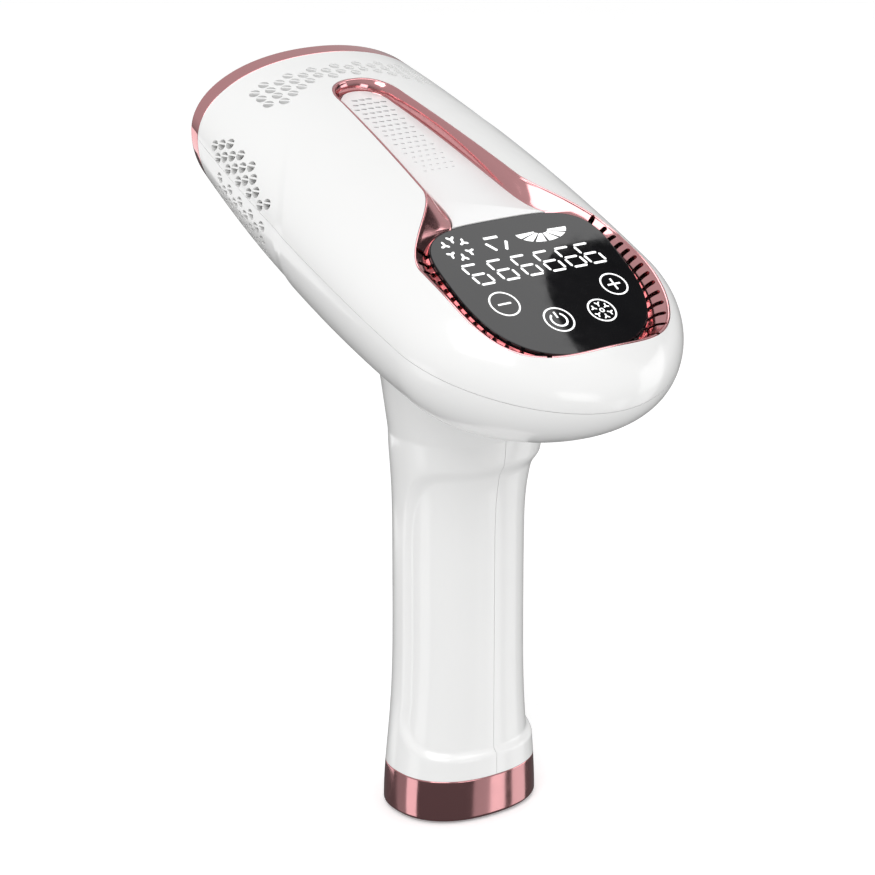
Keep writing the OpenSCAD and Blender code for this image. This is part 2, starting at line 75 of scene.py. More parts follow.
HEAD = Matrix.Translation(MOUTH) @ Matrix.Rotation(math.radians(TILT), 4, "X")
GLASS = HEAD @ Matrix.Translation((0, -GLASS_T, GLASS_N)) @ Matrix.Rotation(math.radians(11), 4, "X")
SPINE = HEAD @ Matrix.Translation((0, -SPINE_T, SPINE_N)) @ Matrix.Rotation(math.radians(-1.163), 4, "X")
WORLD = Matrix.Identity(4)
# Stands a flat outline up, so that its depth runs along +Y.
UPRIGHT = Matrix.Rotation(math.radians(-90), 4, "X")

# Where the camera stands and what it looks at, in metres.
TARGET = Vector((-0.00393, 0.00573, 0.10706))
EYE = Vector((-0.46809, -0.63501, 0.36869))


# ---------------------------------------------------------------- shared maths
# In the head's frame t is the distance back from the mouth. The head's sections go by tau, which is t on the
# axis: they lean at the mouth, so that it stands upright, and less and less towards the rear.
def smooth(x):
    """Eases from 0 to 1 as x does."""
    k = np.clip(x, 0, 1)
    return k * k * (3 - 2 * k)


def full_turn(n):
    """n even steps round a circle."""
    return np.linspace(0, 2 * math.pi, n, endpoint=False)


def spow(c, p):
    """A cosine or sine turned into that of a superellipse of order p."""
    return np.sign(c) * np.abs(c) ** (2 / p)


def bow(tau):
    """0 at both ends of the head, 1 half-way."""
    s = tau / HEAD_LEN
    return 4 * s * (1 - s)


def closing(tau, length):
    """Scale of the section, which shrinks to 0 where the rear closes at length."""
    e = np.clip((tau - REAR_T0) / (length - REAR_T0), 0, 1)
    return (1 - e**REAR_POWER) ** (1 / REAR_POWER)


def half_w(tau):
    return HEAD_HALF_W + 4.9 * bow(tau) + 0.4 * (tau / HEAD_LEN) ** 2


def top_h(tau):
    return 18.4 + 4.4 * bow(tau) + 2.9 * (tau / HEAD_LEN) ** 2


def bot_h(tau):
    return 26.3 + 5.8 * bow(tau) - 4.65 * (tau / HEAD_LEN) ** 2


def head_pt(tau, th, off=0.0):
    """Points of the head's surface, off mm under it: tau along the head, th round it."""
    tau, th = np.broadcast_arrays(np.asarray(tau, float), np.asarray(th, float))
    e = closing(tau, HEAD_LEN - off)
    upper = np.sin(th) >= 0
    p = np.where(upper, CROWN, 2)
    z = (np.where(upper, top_h(tau), bot_h(tau)) - off) * e * spow(np.sin(th), p)
    x = (half_w(tau) - off) * e * spow(np.cos(th), p)
    return np.stack([x, -(tau + SHEAR * z * (1 - tau / HEAD_LEN)), z], -1)


def tau_of(t, z):
    """The section through the point t back and z above the axis."""
    return (t - SHEAR * z) / (1 - SHEAR * z / HEAD_LEN)


def top_at(x, t):
    """Height of the head's top at x and t."""
    z = np.full(np.broadcast(x, t).shape, 20.0)
    for _ in range(30):
        u = np.minimum(HEAD_LEN - 0.01, tau_of(t, z))
        e = np.maximum(closing(u, HEAD_LEN), 1e-4)
        z = top_h(u) * e * np.clip(1 - (np.abs(x) / (half_w(u) * e)) ** CROWN, 0, 1) ** (1 / CROWN)
    return z


def super_end(x, p):
    """A superellipse's quarter, from 1 at x = 0 to 0 at x = 1."""
    return np.clip(1 - np.clip(x, 0, 1) ** p, 0, 1) ** (1 / p)


def recess_w(t):
    """Half the recess's width: a narrow front part that widens round the display."""
    t = np.asarray(t, float)
    narrow = 10.7 + (np.minimum(t, 102) - 27.3) * 0.108
    side = narrow + smooth((t - 75) / 27) * (33 - narrow)
    side = np.where(t <= 27.3, 10.7 * super_end((27.3 - t) / 11.5, 2.4), side)
    return np.where(t >= 110, 33 * super_end((t - 110) / 33.7, 2.7), side)


def glass_w(t):
    front = super_end((GLASS_T0 - t) / 18.6, 3.6)
    rear = super_end((t - GLASS_T0) / 31.1, 2.6)
    return 28.3 * np.where(t < GLASS_T0, front, rear)


def glass_front(x):
    return GLASS_T0 - 18.6 * super_end(np.abs(x) / 28.3, 3.6)


def spine_w(t):
    tip = 7.9 * super_end((26.4 - t) / 7.9, 2.2)
    body = 12.1 - 4.2 * np.exp((26.4 - t) / 28) + 5 * np.exp((np.minimum(t, 91) - 91) / 4)
    return np.where(t < 26.4, tip, body)


def inner_w(t):
    return np.where(t > GLASS_T0, glass_w(t), np.maximum(spine_w(t), glass_w(t)))


def floor_z(t):
    """Height of the recess's floor: the panel's plane, then the display's."""
    return np.where(t < 89, SPINE_N + (t - SPINE_T) * 0.0203, GLASS_N - 0.194 * (t - GLASS_T))


def foot(z):
    return np.exp(-((z / 26) ** 2))


def neck(z):
    return np.exp(-((np.maximum(0, 112 - z) / 14) ** 2)) + np.maximum(0, z - 112) * 0.11


def grip_recess(y, z):
    """Depth of the grip recess: nothing outside its rounded border, full depth on its floor."""
    across = np.maximum(0, y + 17.3) / (18.8 + 0.15 * np.maximum(0, 32 - z))
    up = np.maximum(0, z - 78) / 27.5 + np.maximum(0, 30 - z) / 11.7
    return GRIP_RECESS * smooth((1 - (across**2.4 + up**2.4) ** (1 / 2.4)) * 6)


def grip_pt(z, th, off=0.0, recess=True):
    """Points of the handle's surface, with the grip recess or off mm inside it."""
    z, th = np.broadcast_arrays(np.asarray(z, float), np.asarray(th, float))
    a = GRIP_A + 3.3 * foot(z) + 2.6 * neck(z)
    b = GRIP_B + 0.6 * foot(z) + 1.2 * neck(z)
    yc = 0.5 * foot(z) - 2 * neck(z)
    cx, sy = spow(np.cos(th), 2.3), spow(np.sin(th), 2.3)
    d = grip_recess(yc + b * sy, z) if recess else off
    return np.stack([(a - d) * cx, yc + (b - d) * sy, z], -1)


# ---------------------------------------------------------------- mesh helpers
def make_mesh(name, verts, faces, place=WORLD):
    mesh = bpy.data.meshes.new(name)
    mesh.from_pydata(np.asarray(verts, float).reshape(-1, 3).tolist(), [], faces)
    mesh.transform(place)
    mesh.update()
    return mesh


def new_object(name, data):
    obj = bpy.data.objects.new(name, data)
    bpy.context.scene.collection.objects.link(obj)
    return obj


def merged(parts):
    """One mesh from (verts, faces) parts."""
    verts, faces = [], []
    for v, f in parts:
        base = len(verts)
        verts += [tuple(p) for p in np.asarray(v, float).reshape(-1, 3)]
        faces += [[i + base for i in face] for face in f]
    return verts, faces


def ring_faces(rows, cols, closed=False):
    """Quads between rows of a closed ring of cols points, facing out when the ring runs anticlockwise."""
    last = rows if closed else rows - 1
    out = []
    for i in range(last):
        a, b = i * cols, ((i + 1) % rows) * cols
        for j in range(cols):
            k = (j + 1) % cols
            out.append([a + j, b + j, b + k, a + k])
    return out


def loft(rows):
    """(verts, faces) of a solid through rings of equal length."""
    rows = np.asarray(rows, float)
    n, m = rows.shape[:2]
    faces = ring_faces(n, m)
    faces.append(list(range(m)))
    faces.append([(n - 1) * m + j for j in reversed(range(m))])
    return rows.reshape(-1, 3), faces


def hoop(rows):
    """(verts, faces) of a closed band through rings of equal length, the last joined to the first."""
    rows = np.asarray(rows, float)
    return rows.reshape(-1, 3), ring_faces(*rows.shape[:2], closed=True)


def oval(rx, ry, n):
    """n points round an ellipse."""
    a = full_turn(n)
    return np.column_stack([rx * np.cos(a), ry * np.sin(a)])


def at_z(outline, z):
    """A flat outline as a ring of points at height z."""
    return np.column_stack([np.asarray(outline, float), np.full(len(outline), z)])


def prism(outline, z0, z1):
    return loft([at_z(outline, z0), at_z(outline, z1)])


def box(low, high):
    x0, y0, z0 = low
    x1, y1, z1 = high
    return prism([(x0, y0), (x1, y0), (x1, y1), (x0, y1)], z0, z1)


def moved(part, matrix):
    verts, faces = part
    m = np.array(matrix)
    v = np.asarray(verts, float).reshape(-1, 3) @ m[:3, :3].T + m[:3, 3]
    return v, faces


def face_out(mesh):
    bm = bmesh.new()
    bm.from_mesh(mesh)
    bmesh.ops.recalc_face_normals(bm, faces=bm.faces)
    bm.to_mesh(mesh)
    bm.free()


def boolean(mesh, cutter, operation="DIFFERENCE"):
    face_out(mesh)
    face_out(cutter)
    a = new_object("work", mesh)
    b = new_object("cutter", cutter)
    mod = a.modifiers.new("cut", "BOOLEAN")
    mod.operation = operation
    mod.solver = "MANIFOLD"
    mod.object = b
    bpy.context.view_layer.update()
    graph = bpy.context.evaluated_depsgraph_get()
    result = bpy.data.meshes.new_from_object(a.evaluated_get(graph))
    for o in (a, b):
        bpy.data.objects.remove(o)
    return result


def cut(mesh, *parts):
    """The mesh less the (verts, faces) parts, all taken away at once."""
    return boolean(mesh, make_mesh("cut", *merged(parts)))


def grid_normals(rows):
    """Unit normals at the points of a grid of closed rings."""
    across = np.roll(rows, -1, axis=1) - np.roll(rows, 1, axis=1)
    along = np.gradient(rows, axis=0)
    n = np.cross(along, across)
    size = np.linalg.norm(n, axis=-1, keepdims=True)
    return n / np.maximum(size, 1e-9)


def follow_surface(mesh, rows, reach=0.004):
    """The smooth surface's normals at the mesh's corners that lie on it, so cuts leave no marks."""
    n, m = rows.shape[:2]
    guide_n = grid_normals(rows).reshape(-1, 3)
    quads = ring_faces(n, m)
    flat = rows.reshape(-1, 3)
    tree = BVHTree.FromPolygons(flat.tolist(), quads)
    known = {}
    for v in mesh.vertices:
        hit, _, index, _ = tree.find_nearest(v.co, reach)
        if hit is None:
            continue
        ids = quads[index]
        gap = np.linalg.norm(flat[ids] - np.array(v.co), axis=1)
        weight = 1 / (gap**2 + 1e-7)
        mix = (guide_n[ids] * weight[:, None]).sum(0)
        known[v.index] = mix / max(np.linalg.norm(mix), 1e-9)
    return known


def set_normals(mesh, known, sharp):
    for p in mesh.polygons:
        p.use_smooth = True
    mesh.set_sharp_from_angle(angle=math.radians(sharp))
    wanted = [(0.0, 0.0, 0.0)] * len(mesh.loops)
    for p in mesh.polygons:
        ids = list(p.vertices)
        if not all(i in known for i in ids):
            continue
        mean = sum(known[i] for i in ids)
        if abs(np.dot(mean, p.normal)) < 0.9 * np.linalg.norm(mean):
            continue
        turn = 1.0 if np.dot(mean, p.normal) > 0 else -1.0
        for loop, i in zip(p.loop_indices, ids):
            wanted[loop] = tuple(turn * known[i])
    mesh.normals_split_custom_set(wanted)


def finish_piece(name, mesh, material, body, replaces=(), sharp=32, known=None, place=WORLD):
    """Makes the object, in metres, riding on its CAD body."""
    face_out(mesh)
    if known is None:
        for p in mesh.polygons:
            p.use_smooth = True
        mesh.set_sharp_from_angle(angle=math.radians(sharp))
    else:
        set_normals(mesh, known, sharp)
    mesh.transform(Matrix.Scale(0.001, 4) @ place)
    mesh.materials.clear()
    mesh.materials.append(material)
    obj = new_object(name, mesh)
    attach(obj, body)
    if replaces:
        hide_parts(*replaces)


# ---------------------------------------------------------------- materials
class Shader:
    """A principled material and a few ways to drive it with noise."""

    def __init__(self, name, **values):
        self.material = bpy.data.materials.new(name)
        self.material.use_nodes = True
        self.tree = self.material.node_tree
        self.bsdf = self.tree.nodes["Principled BSDF"]
        for key, value in values.items():
            self.bsdf.inputs[key.replace("_", " ")].default_value = value
        self.coords = self.tree.nodes.new("ShaderNodeTexCoord").outputs["Object"]

    def node(self, kind, inputs, **settings):
        n = self.tree.nodes.new(kind)
        for key, value in settings.items():
            setattr(n, key, value)
        for key, value in inputs.items():
            n.inputs[key].default_value = value
        return n

    def link(self, a, b):
        self.tree.links.new(a, b)

    def stretched(self, scale):
        n = self.node("ShaderNodeMapping", {"Scale": scale})
        self.link(self.coords, n.inputs["Vector"])
        return n.outputs["Vector"]

    def noise(self, scale, detail=3.0, rough=0.5, vector=None):
        n = self.node("ShaderNodeTexNoise", {"Scale": scale, "Detail": detail, "Roughness": rough})
        self.link(vector or self.coords, n.inputs["Vector"])
        return n.outputs["Fac"]

    def ramp(self, fac, stops):
        n = self.node("ShaderNodeValToRGB", {})
        ramp = n.color_ramp
        while len(ramp.elements) < len(stops):
            ramp.elements.new(0.5)
        for element, (place, colour) in zip(ramp.elements, stops):
            element.position = place
            element.color = (*colour, 1.0)
        self.link(fac, n.inputs["Fac"])
        return n.outputs["Color"]

    def span(self, fac, low, high):
        ends = {"From Min": 0.3, "From Max": 0.7, "To Min": low, "To Max": high}
        n = self.node("ShaderNodeMapRange", ends)
        self.link(fac, n.inputs["Value"])
        return n.outputs["Result"]

    def colour(self, output):
        self.link(output, self.bsdf.inputs["Base Color"])

    def roughness(self, output):
        self.link(output, self.bsdf.inputs["Roughness"])

    def bump(self, height, strength, distance):
        n = self.node("ShaderNodeBump", {"Strength": strength, "Distance": distance})
        self.link(height, n.inputs["Height"])
        self.link(n.outputs["Normal"], self.bsdf.inputs["Normal"])


def tint(colour, k):
    return tuple(min(1.0, c * k) for c in colour)


def moulded(name, colour, low=0.2, high=0.3, grain=900.0, relief=0.02, spread=0.03, **values):
    """Moulded plastic: faint colour drift, roughness that varies a little, fine surface ripple."""
    s = Shader(name, **values)
    drift = s.noise(22.0, 4.0)
    s.colour(s.ramp(drift, [(0.3, tint(colour, 1 - spread)), (0.7, tint(colour, 1 + spread))]))
    s.roughness(s.span(s.noise(140.0, 5.0), low, high))
    s.bump(s.noise(grain, 2.0), relief, 0.0002)
    return s.material


def rose_plate(name, low, high):
    """Rose gold plating with roughness from low to high."""
    s = Shader(name, Metallic=1.0)
    drift = s.noise(30.0, 4.0)
    s.colour(s.ramp(drift, [(0.3, (0.72, 0.355, 0.37)), (0.7, (0.75, 0.38, 0.39))]))
    s.roughness(s.span(s.noise(260.0, 6.0, 0.6), low, high))
    s.bump(s.noise(420.0, 2.0), 0.012, 0.0002)
    return s.material


def brushed(name, colour, low, high, scale=(1, 1, 40)):
    s = Shader(name, Metallic=1.0)
    lines = s.noise(60.0, 6.0, 0.6, s.stretched(scale))
    s.colour(s.ramp(lines, [(0.3, tint(colour, 0.88)), (0.7, colour)]))
    s.roughness(s.span(lines, low, high))
    s.bump(lines, 0.05, 0.0001)
    return s.material


def black_glass():
    s = Shader("display_glass_black", IOR=1.38)
    s.colour(s.ramp(s.noise(60.0, 3.0), [(0.3, (0.006, 0.006, 0.007)), (0.7, (0.009, 0.009, 0.010))]))
    s.roughness(s.span(s.noise(300.0, 5.0), 0.015, 0.045))
    return s.material


def lit_print():
    s = Shader("display_print_white", Roughness=0.5)
    white = s.ramp(s.noise(700.0, 2.0), [(0.3, (0.88, 0.89, 0.89)), (0.7, (0.97, 0.97, 0.97))])
    s.colour(white)
    s.link(white, s.bsdf.inputs["Emission Color"])
    s.bsdf.inputs["Emission Strength"].default_value = 0.55
    return s.material


def clear(name, colour, low, high):
    s = Shader(name, IOR=1.5, Transmission_Weight=1.0)
    s.colour(s.ramp(s.noise(80.0), [(0.3, tint(colour, 0.97)), (0.7, colour)]))
    s.roughness(s.span(s.noise(260.0, 4.0), low, high))
    return s.material


def circuit_board():
    s = Shader("circuit_board_green")
    look = {"Scale": 260.0, "Mortar Size": 0.06, "Color1": (0.018, 0.105, 0.05, 1),
            "Color2": (0.014, 0.085, 0.04, 1), "Mortar": (0.05, 0.23, 0.11, 1)}
    tracks = s.node("ShaderNodeTexBrick", look, offset=0.5, squash=1.6)
    s.link(s.coords, tracks.inputs["Vector"])
    s.colour(tracks.outputs["Color"])
    s.roughness(s.span(s.noise(200.0, 4.0), 0.25, 0.4))
    s.bump(tracks.outputs["Fac"], 0.2, 0.0001)
    return s.material


def winding():
    s = Shader("copper_winding_lacquered", Metallic=1.0)
    turns = s.node("ShaderNodeTexWave", {"Scale": 480.0, "Distortion": 0.6}, bands_direction="Z")
    s.link(s.coords, turns.inputs["Vector"])
    s.colour(s.ramp(turns.outputs["Fac"], [(0.1, (0.30, 0.11, 0.05)), (0.8, (0.72, 0.33, 0.17))]))
    s.roughness(s.span(turns.outputs["Fac"], 0.2, 0.4))
    s.bump(turns.outputs["Fac"], 0.4, 0.0002)
    return s.material


WHITE = moulded("shell_white_gloss", (0.90, 0.90, 0.895), 0.16, 0.26, 700.0, 0.012, 0.008,
                Coat_Weight=0.35, Coat_Roughness=0.06)
SATIN = moulded("spine_white_satin", (0.86, 0.86, 0.86), 0.28, 0.4, 700.0, 0.012, 0.008,
                Specular_IOR_Level=0.2)
WHITE_MATTE = moulded("inner_white_matte", (0.80, 0.80, 0.78), 0.45, 0.6, 900.0, 0.05)
ROSE = rose_plate("rose_gold_plate", 0.035, 0.085)
ROSE_SOFT = rose_plate("rose_gold_plate_trim", 0.11, 0.17)
BLACK_GLASS = black_glass()
PRINT = lit_print()
# Dark grey for the fill in the spine's ticks: painted shade that stands in for the shadow inside them.
TICK_SHADE = moulded("spine_tick_painted_shade", (0.20, 0.20, 0.205), 0.4, 0.5)
BLACK = moulded("black_matte_plastic", (0.022, 0.022, 0.024), 0.4, 0.6, 1400.0, 0.15, 0.2)
SLEEVE = moulded("capacitor_sleeve_blue", (0.03, 0.05, 0.13), 0.2, 0.35, 300.0, 0.05, 0.15)
CERAMIC = moulded("cooler_ceramic_white", (0.82, 0.82, 0.79), 0.5, 0.65, 1600.0, 0.08)
BOARD = circuit_board()
STEEL = brushed("bright_steel", (0.66, 0.67, 0.69), 0.18, 0.32, (1, 30, 1))
ALUMINIUM = brushed("plain_aluminium", (0.80, 0.81, 0.83), 0.22, 0.38)
COPPER = winding()
CRYSTAL = clear("window_crystal", (0.93, 0.97, 0.99), 0.01, 0.03)
QUARTZ = clear("lamp_quartz", (0.96, 0.97, 0.98), 0.02, 0.05)

BY_SLOT = {
    "white_gloss": WHITE, "rose_gold": ROSE, "black_glass": BLACK_GLASS, "clear_glass": QUARTZ,
    "white_matte": WHITE_MATTE, "circuit_board": BOARD, "bright_steel": STEEL, "aluminium": ALUMINIUM,
    "black_matte": BLACK, "capacitor_sleeve": SLEEVE, "white_ceramic": CERAMIC, "copper_winding": COPPER,
}


def dress_cad_nodes():
    """Gives every CAD node that stays in view its finish."""
    slots = {p["node"]: p["material_slot"] for p in frame["record"]["subparts"]}
    for name, obj in NODES.items():
        material = CRYSTAL if name == "window_glass" else BY_SLOT[slots[name]]
        obj.data.materials.clear()
        obj.data.materials.append(material)


# ---------------------------------------------------------------- head shells
COLS = 300


def crease(rows):
    """Presses in the front part of the flanks, up to a soft line that runs down each side."""
    x, y, z = rows[..., 0], rows[..., 1], rows[..., 2]
    line = 56.5 - 0.078 * np.maximum(z, 0) ** 2
    ahead = line + y
    side = smooth((16.5 - z) / 5) * smooth((z + 25) / 7)
    depth = 0.5 * smooth(ahead / 5) * np.exp(-np.maximum(ahead, 0) / 14) * side
    r = np.hypot(x, z) + 1e-6
    out = rows.copy()
    out[..., 0] -= depth * x / r
    out[..., 2] -= depth * z / r
    return out


def head_rows(off, cols, front_rows, rear_rows, start=RING_LEN):
    """Rings along the head, off mm inside its surface, closer together towards the rear end."""
    last = HEAD_LEN - off
    phi = np.linspace(0, math.pi / 2, rear_rows + 1)[:-1]
    rear = REAR_T0 + (last - REAR_T0) * np.sin(phi) ** (2 / REAR_POWER)
    tau = np.concatenate([np.linspace(start, REAR_T0, front_rows, endpoint=False), rear])
    th = full_turn(cols)
    return head_pt(tau[:, None], th[None, :], off)


def closed_rear(rows, off):
    """(verts, faces) through the head's rows, closed at the rear by one point and open at the front."""
    n, m = rows.shape[:2]
    verts = np.vstack([rows.reshape(-1, 3), [[0, -(HEAD_LEN - off), 0]]])
    last = (n - 1) * m
    return verts, ring_faces(n, m) + [[last + j, n * m, last + (j + 1) % m] for j in range(m)]


def head_shell():
    """(verts, faces) of the whole hollow shell, open at the mouth, and its outer and inner grids."""
    outer = crease(head_rows(0, COLS, 170, 60))
    inner = head_rows(WALL, COLS, 50, 24)
    verts, faces = merged([closed_rear(outer, 0.0), closed_rear(inner, WALL)])
    base = len(outer) * COLS + 1
    faces += [[j, (j + 1) % COLS, base + (j + 1) % COLS, base + j] for j in range(COLS)]
    return verts, faces, outer, inner


# The trim's inner edge: its front, the waist where the panel meets the display, and its rear.
INNER_T0, WAIST_T, INNER_T1 = 18.5, 88.6, 139.1
SIDE_STEPS, WAIST_STEP = 44, 16
SIDE_K = np.linspace(0, SIDE_STEPS, 221)
SIDE_ENDS = (SIDE_K == 0) | (SIDE_K == SIDE_STEPS)
SIDE_COS = np.cos(np.pi * SIDE_K / SIDE_STEPS)


def eased(k, low, high):
    return low + (high - low) * (1 - np.cos(np.pi * k)) / 2


def side_t():
    """Stations down the trim's inner edge, closer together at its ends and at the waist."""
    front = eased(SIDE_K / WAIST_STEP, INNER_T0, WAIST_T)
    rear = eased((SIDE_K - WAIST_STEP) / (SIDE_STEPS - WAIST_STEP), WAIST_T, INNER_T1)
    return np.where(SIDE_K < WAIST_STEP, front, rear)


def outer_t(t):
    """The station on the recess's border that goes with t on the inner edge."""
    return RECESS_T0 + (t - INNER_T0) * (RECESS_T1 - RECESS_T0) / (INNER_T1 - INNER_T0)


def round_loop(half):
    """A closed loop from its right-hand half, mirrored, with the two end points on the middle line."""
    left = half[-2:0:-1] * np.array([-1, 1, 1])
    return np.vstack([half, left])


def outer_loop(inset):
    """The recess's border on the head's surface."""
    t = outer_t(side_t())
    w = recess_w(t)
    x = np.where(SIDE_ENDS, 0, w - inset)
    return round_loop(np.column_stack([np.maximum(x, 0), -t - inset * SIDE_COS, top_at(w, t)]))


def inner_loop(inset, drop):
    """The border of the panel and the display on the recess's floor."""
    t = side_t()
    x = np.where(SIDE_ENDS, 0, inner_w(t) + inset)
    return round_loop(np.column_stack([x, -t + inset * SIDE_COS, floor_z(t) - drop]))


# ---------------------------------------------------------------- vents
VENT_R = 1.55
TOP_LEAN = math.radians(135)
FLANK_LEAN = math.radians(115)
FLANK_STEP = 6.3


def vent_frame(tau, th):
    """A frame on the head's surface: X back along it, Z out of it."""
    p = head_pt(tau, th)
    u = head_pt(tau + 0.5, th) - head_pt(tau - 0.5, th)
    v = head_pt(tau, th + 0.02) - head_pt(tau, th - 0.02)
    n = np.cross(v, u)
    n /= np.linalg.norm(n)
    if np.dot(n, p * np.array([1, 0, 1])) < 0:
        n = -n
    u /= np.linalg.norm(u)
    v = np.cross(n, u)
    m = Matrix.Identity(4)
    for i in range(3):
        m[i][0], m[i][1], m[i][2], m[i][3] = u[i], v[i], n[i], p[i]
    return m


def vent_cutters(tau, th, lean):
    """Two D shapes, a small one and a large one, with a slanted bar between them."""
    parts = []
    place = vent_frame(tau, th) @ Matrix.Rotation(lean, 4, "Z")
    for reach, side in ((0.4, 0.0), (-0.06, math.pi)):
        half = math.acos(reach)
        a = side + np.linspace(-half, half, 18)
        parts.append(moved(prism(VENT_R * np.column_stack([np.cos(a), np.sin(a)]), -4.5, 2.0), place))
    return parts


def top_vents():
    """Rows of vents across the top, behind the ring."""
    parts = []
    for j in range(-7, 8):
        limit = {4: 14.5, 5: 16.4, 6: 18.1, 7: 16.4}.get(abs(j), 12.7)
        for k in range(4):
            t = (7.2 if j % 2 == 0 else 9.0) + 3.6 * k
            if t >= limit:
                continue
            x = 3.85 * j
            tau = float(tau_of(t, top_at(np.array(x), np.array(t))))
            th = math.acos(math.copysign((abs(x) / float(half_w(tau))) ** (CROWN / 2), x))
            parts += vent_cutters(tau, th, TOP_LEAN)
    return parts


def flank_vents(upper):
    """Rows of vents down both flanks, in the upper or the lower shell."""
    parts = []
    for i in range(4 if upper else 5):
        if upper:
            deg = 4.6 + 5.0 * i
            first = 17.5 + 2.75 * i - (FLANK_STEP if i > 0 else 0)
            far = 45.8 - 4.5 * max(0, i - 1)
        else:
            deg = -5.6 - 4.6 * i
            first = 20.2 + (3.1 * i) % FLANK_STEP - (FLANK_STEP if i > 1 else 0)
            far = 45.8
        for k in range(6):
            t = first + FLANK_STEP * k
            if not 13.5 < t < far:
                continue
            rise = math.sin(math.radians(deg))
            z = float(top_h(t)) * rise ** (2 / CROWN) if upper else float(bot_h(t)) * rise
            tau = float(tau_of(t, z))
            for side in (0, 1):
                th = math.radians(deg if side == 0 else 180 - deg)
                parts += vent_cutters(tau, th, FLANK_LEAN if side else -FLANK_LEAN)
    return parts


def build_shells():
    """The head's two halves, with the vents, the recess and the opening into the handle."""
    verts, faces, outer, inner = head_shell()
    whole = make_mesh("shell", verts, faces)
    seam = 0.08
    below = box((-60, -170, -60), (60, 10, SEAM_N + seam))
    above = box((-60, -170, SEAM_N - seam), (60, 10, 60))
    recess = outer_loop(-0.04)[:, :2]
    upper_cut = [prism(recess, 4, 40)] + top_vents() + flank_vents(True)
    turn = Matrix.Rotation(math.radians(-TILT), 4, "X")
    neck_hole = moved(prism(oval(15.2, 13.2, 96), 0, 50),
                      turn @ Matrix.Translation((0, -MOUTH[1] - 2, 100 - MOUTH[2])))
    lower_cut = flank_vents(False) + [neck_hole]
    for node, other_half, openings in (("upper_shell", below, upper_cut), ("lower_shell", above, lower_cut)):
        mesh = cut(whole.copy(), other_half)
        mesh = cut(mesh, *openings)
        known = follow_surface(mesh, outer)
        known.update(follow_surface(mesh, inner))
        finish_piece(node + "_skin", mesh, WHITE, "handset", (node,), 32, known, HEAD)


def build_ring():
    """The plated ring round the mouth, with rounded front corners."""
    th = full_turn(COLS)
    edge_r = 0.45
    arc = np.linspace(math.pi / 2, 0, 7)
    profile = [(edge_r * (1 - math.sin(a)), edge_r * (1 - math.cos(a))) for a in arc]
    profile += [(0.8, 0.0), (2.0, 0.0), (3.3, 0.0), (4.6, 0.0), (4.85, 0.03), (4.93, 0.12), (4.95, 0.3)]
    profile += [(4.95, 4.9), (1.2, 4.9), (0.4, 4.75), (0.12, 4.45), (0, 4.1)]
    mesh = make_mesh("ring", *hoop([head_pt(tau, th, off) for tau, off in profile]))
    finish_piece("front_ring_plate", mesh, ROSE, "handset", ("front_ring",), 40, None, HEAD)


def trim_rows():
    """Sections of the recess trim: skirt, rounded lip, bulging wall, and a gutter beside the display."""
    out = outer_loop(0)
    inn = inner_loop(0.16, 0.55)
    gap = inn[:, :2] - out[:, :2]
    width = np.linalg.norm(gap, axis=1, keepdims=True)
    lip = 0.8 / np.maximum(width, 1.6)
    gutter = 1.9 * smooth((-inn[:, 1] - 89) / 8)
    drop = out[:, 2] - inn[:, 2] + gutter

    def at(across, down, lift=0.0):
        p = np.empty_like(out)
        p[:, :2] = out[:, :2] + across * gap
        p[:, 2] = out[:, 2] - down * drop + lift
        return p

    lip_profile = [(0, -1.8), (0, -0.22), (0.06, -0.07), (0.2, 0), (0.5, 0.03), (0.85, 0.02), (1, -0.05)]
    lip_profile += [(1.08, -0.16)]
    rows = [at(k * lip, 0, lift) for k, lift in lip_profile]
    top = 1.14 * lip
    bulge = 0.5
    edge = 1 - 0.5 / np.maximum(width, 1.6)
    for a in np.linspace(0, math.pi / 2, 13):
        across = (1 + bulge) * (2 * a / math.pi) - bulge * (1 - math.cos(a))
        down = (1 + bulge) * (2 * a / math.pi) - bulge * math.sin(a)
        rows.append(at(top + (edge - top) * across, down, -0.28 * (1 - down)))
    rim = at(np.ones_like(lip), 1)
    rim[:, 2] += 0.7 * gutter
    rows.append(rim)
    rows.append(at(np.ones_like(lip), 1, -0.6))
    rows.append(at(lip, 0.2, -2.2))
    return rows


def slot_cutters():
    """The narrow cooling slots along both sides of the display."""
    parts = []
    for t in np.arange(96, 137, 3.1):
        w0 = float(inner_w(t))
        lean = math.atan2(float(inner_w(t + 1) - inner_w(t - 1)), 2)
        reach = 0.55 * float(recess_w(t) - w0) + 0.4
        half = 0.68
        arc = np.linspace(-math.pi / 2, math.pi / 2, 9)
        outline = [(reach + half * math.cos(a), half * math.sin(a)) for a in arc]
        outline += [(0.55 - half * 0.5 * math.cos(a), -half * math.sin(a)) for a in arc]
        for side in (-1, 1):
            pts = np.array(outline) * np.array([side, 1])
            turn = Matrix.Rotation(side * lean, 4, "Z")
            place = Matrix.Translation((side * w0, -t, float(floor_z(t)))) @ turn
            parts.append(moved(prism(pts, -6, 12), place))
    return parts


def build_trim():
    """The plated trim that lines the recess, with its slots."""
    rows = trim_rows()
    mesh = cut(make_mesh("trim", *hoop(rows)), *slot_cutters())
    known = follow_surface(mesh, np.array(rows[1:-2]), 0.002)
    finish_piece("recess_trim_plate", mesh, ROSE_SOFT, "handset", ("recess_trim",), 45,
                 known, HEAD)


